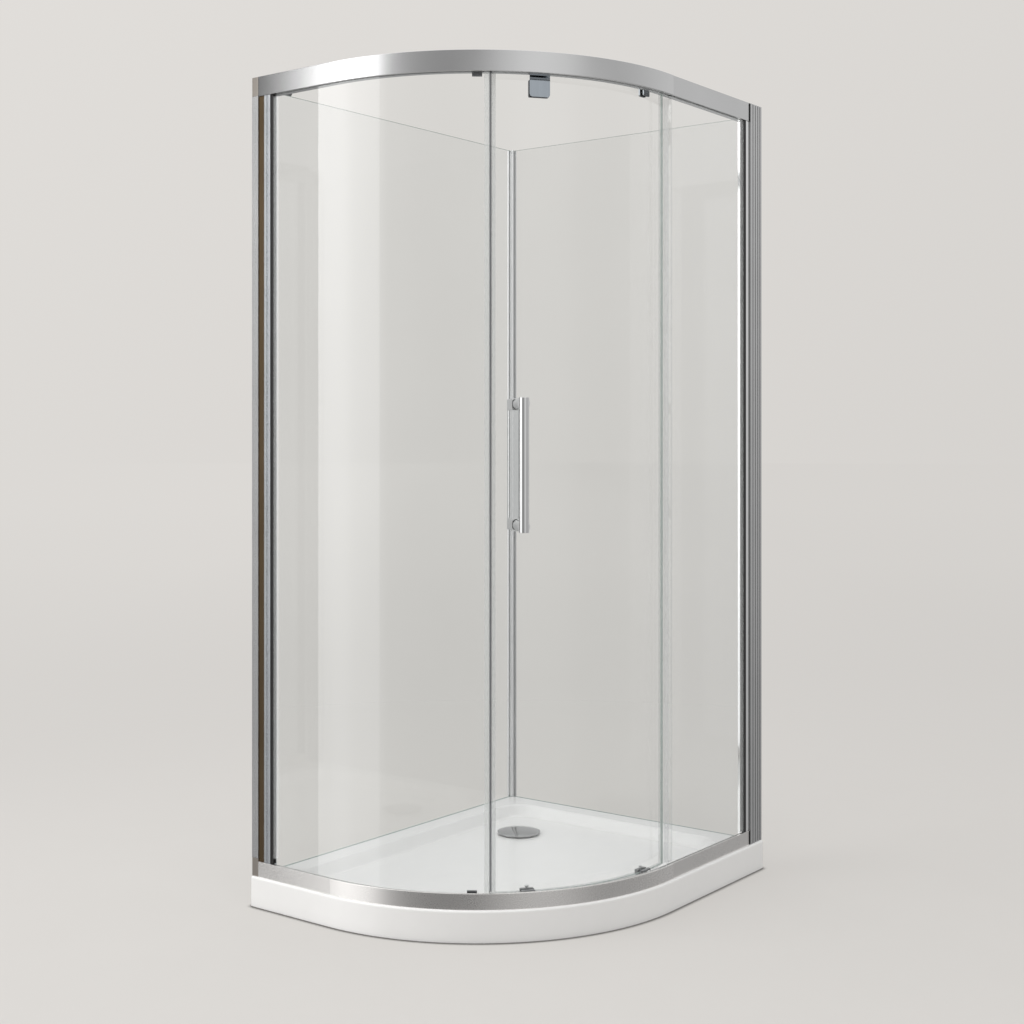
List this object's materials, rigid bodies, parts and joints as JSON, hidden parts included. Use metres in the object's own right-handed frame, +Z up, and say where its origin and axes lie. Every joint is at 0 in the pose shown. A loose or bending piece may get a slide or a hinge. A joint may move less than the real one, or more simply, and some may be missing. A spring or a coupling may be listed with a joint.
{
  "type": "quadrant shower enclosure",
  "caption": "Offset quadrant shower cabin: low white tray, clear curved and flat glass panels, satin rails, and a curved sliding glass door with a bar handle.",
  "frame": {"origin": "centre of the tray's footprint at floor level", "axes": "+Z up; +X along the back wall from the left wall towards the open right side; +Y towards the back wall. The left wall is the plane x = -0.400 m and the back wall is y = +0.500 m. The rounded corner with the door points to +X and -Y."},
  "size_m": [0.8, 1, 1.92],
  "materials": {
    "white_resin": "smooth white gel coat over cast resin",
    "satin_aluminium": "satin anodised",
    "polished_aluminium": "bright polished",
    "chrome": "mirror chrome",
    "clear_glass": "clear toughened safety glass",
    "clear_seal": "translucent flexible plastic",
    "white_magnet": "white magnetic strip",
    "black_rubber": "matt black rubber",
    "grey_plastic": "moulded grey plastic",
    "white_plastic": "moulded white plastic",
    "steel": "plain stainless steel"
  },
  "bodies": {
    "frame": {"shower_tray": "white_resin", "waste_body": "white_plastic", "waste_seal": "black_rubber", "waste_flange": "steel", "top_rail_curved": "satin_aluminium", "top_rail_straight": "satin_aluminium", "bottom_rail_curved": "satin_aluminium", "bottom_rail_straight": "satin_aluminium", "rail_joint_bars": "steel", "post_end_caps": "satin_aluminium", "left_wall_profile": "polished_aluminium", "left_adjusting_profile": "polished_aluminium", "left_panel_stile": "polished_aluminium", "left_gasket": "black_rubber", "left_edge_strip": "clear_seal", "right_wall_profile": "polished_aluminium", "right_adjusting_profile": "polished_aluminium", "right_gaskets": "black_rubber", "right_edge_strip": "clear_seal", "profile_screws": "steel", "left_back_glass": "clear_glass", "right_back_glass": "clear_glass", "corner_post": "polished_aluminium", "left_panel_stay": "grey_plastic", "fixed_curved_glass": "clear_glass", "fixed_straight_glass": "clear_glass", "glazing_gaskets": "clear_seal", "rail_infill_strips": "grey_plastic", "strike_seal": "clear_seal", "strike_magnet": "white_magnet", "straight_glass_seal": "clear_seal", "fixed_panel_clips": "grey_plastic", "track_stops": "black_rubber"},
    "door": {"door_glass": "clear_glass", "door_magnet_seal": "clear_seal", "door_magnet": "white_magnet", "door_trailing_seal": "clear_seal", "door_bottom_seal": "clear_seal", "lead_hanger_plate": "chrome", "trail_hanger_plate": "chrome", "hanger_clamps": "chrome", "glass_pads": "black_rubber", "hanger_bolts": "steel", "wheel_axles": "steel", "guide_blocks": "grey_plastic", "lead_guide_spring": "steel", "trail_guide_spring": "steel", "outer_handle_bar": "chrome", "handle_standoffs": "chrome", "inner_handle_blocks": "chrome", "inner_handle_bar": "chrome", "handle_bolts": "steel"},
    "waste_cover": {"waste_cover": "chrome", "waste_insert": "white_plastic"},
    "lead_top_wheel": {"lead_top_wheel": "white_plastic"},
    "trail_top_wheel": {"trail_top_wheel": "white_plastic"},
    "lead_guide_wheel": {"lead_guide_wheel": "white_plastic"},
    "trail_guide_wheel": {"trail_guide_wheel": "white_plastic"},
    "lead_release_button": {"lead_release_button": "grey_plastic"},
    "trail_release_button": {"trail_release_button": "grey_plastic"}
  },
  "joints": [
    {"name": "door_travel", "type": "hinge", "parent": "frame", "child": "door", "pos_m": [-0.3609, 0.1252, 0], "axis": [0, 0, 1], "range_deg": [0, 20.78]},
    {"name": "lead_top_roll", "type": "hinge", "parent": "door", "child": "lead_top_wheel", "pos_m": [0.27057, -0.26923, 1.8998], "axis": [0.7965, -0.6046, 0], "continuous": true},
    {"name": "trail_top_roll", "type": "hinge", "parent": "door", "child": "trail_top_wheel", "pos_m": [0.37684, 0.01501, 1.8998], "axis": [0.9978, -0.0663, 0], "continuous": true},
    {"name": "lead_guide_roll", "type": "hinge", "parent": "door", "child": "lead_guide_wheel", "pos_m": [0.24565, -0.28435, 0.0913], "axis": [0.7638, -0.6455, 0], "continuous": true},
    {"name": "trail_guide_roll", "type": "hinge", "parent": "door", "child": "trail_guide_wheel", "pos_m": [0.36654, 0.01116, 0.0913], "axis": [0.9972, -0.075, 0], "continuous": true},
    {"name": "lead_release_press", "type": "slide", "parent": "door", "child": "lead_release_button", "axis": [0, 0, -1], "range_m": [0, 0.003], "stiffness_N_per_m": 250, "springref_m": -0.001, "deforming": ["lead_guide_spring"]},
    {"name": "trail_release_press", "type": "slide", "parent": "door", "child": "trail_release_button", "axis": [0, 0, -1], "range_m": [0, 0.003], "stiffness_N_per_m": 250, "springref_m": -0.001, "deforming": ["trail_guide_spring"]},
    {"name": "waste_cover_lift", "type": "slide", "parent": "frame", "child": "waste_cover", "axis": [0, 0, 1], "range_m": [0, 0.035]}
  ],
  "couplings": [
    {"joint": "lead_top_roll", "follows": "door_travel", "ratio": -62.044},
    {"joint": "trail_top_roll", "follows": "door_travel", "ratio": -62.16},
    {"joint": "lead_guide_roll", "follows": "door_travel", "ratio": -104.55},
    {"joint": "trail_guide_roll", "follows": "door_travel", "ratio": -105.19}
  ]
}
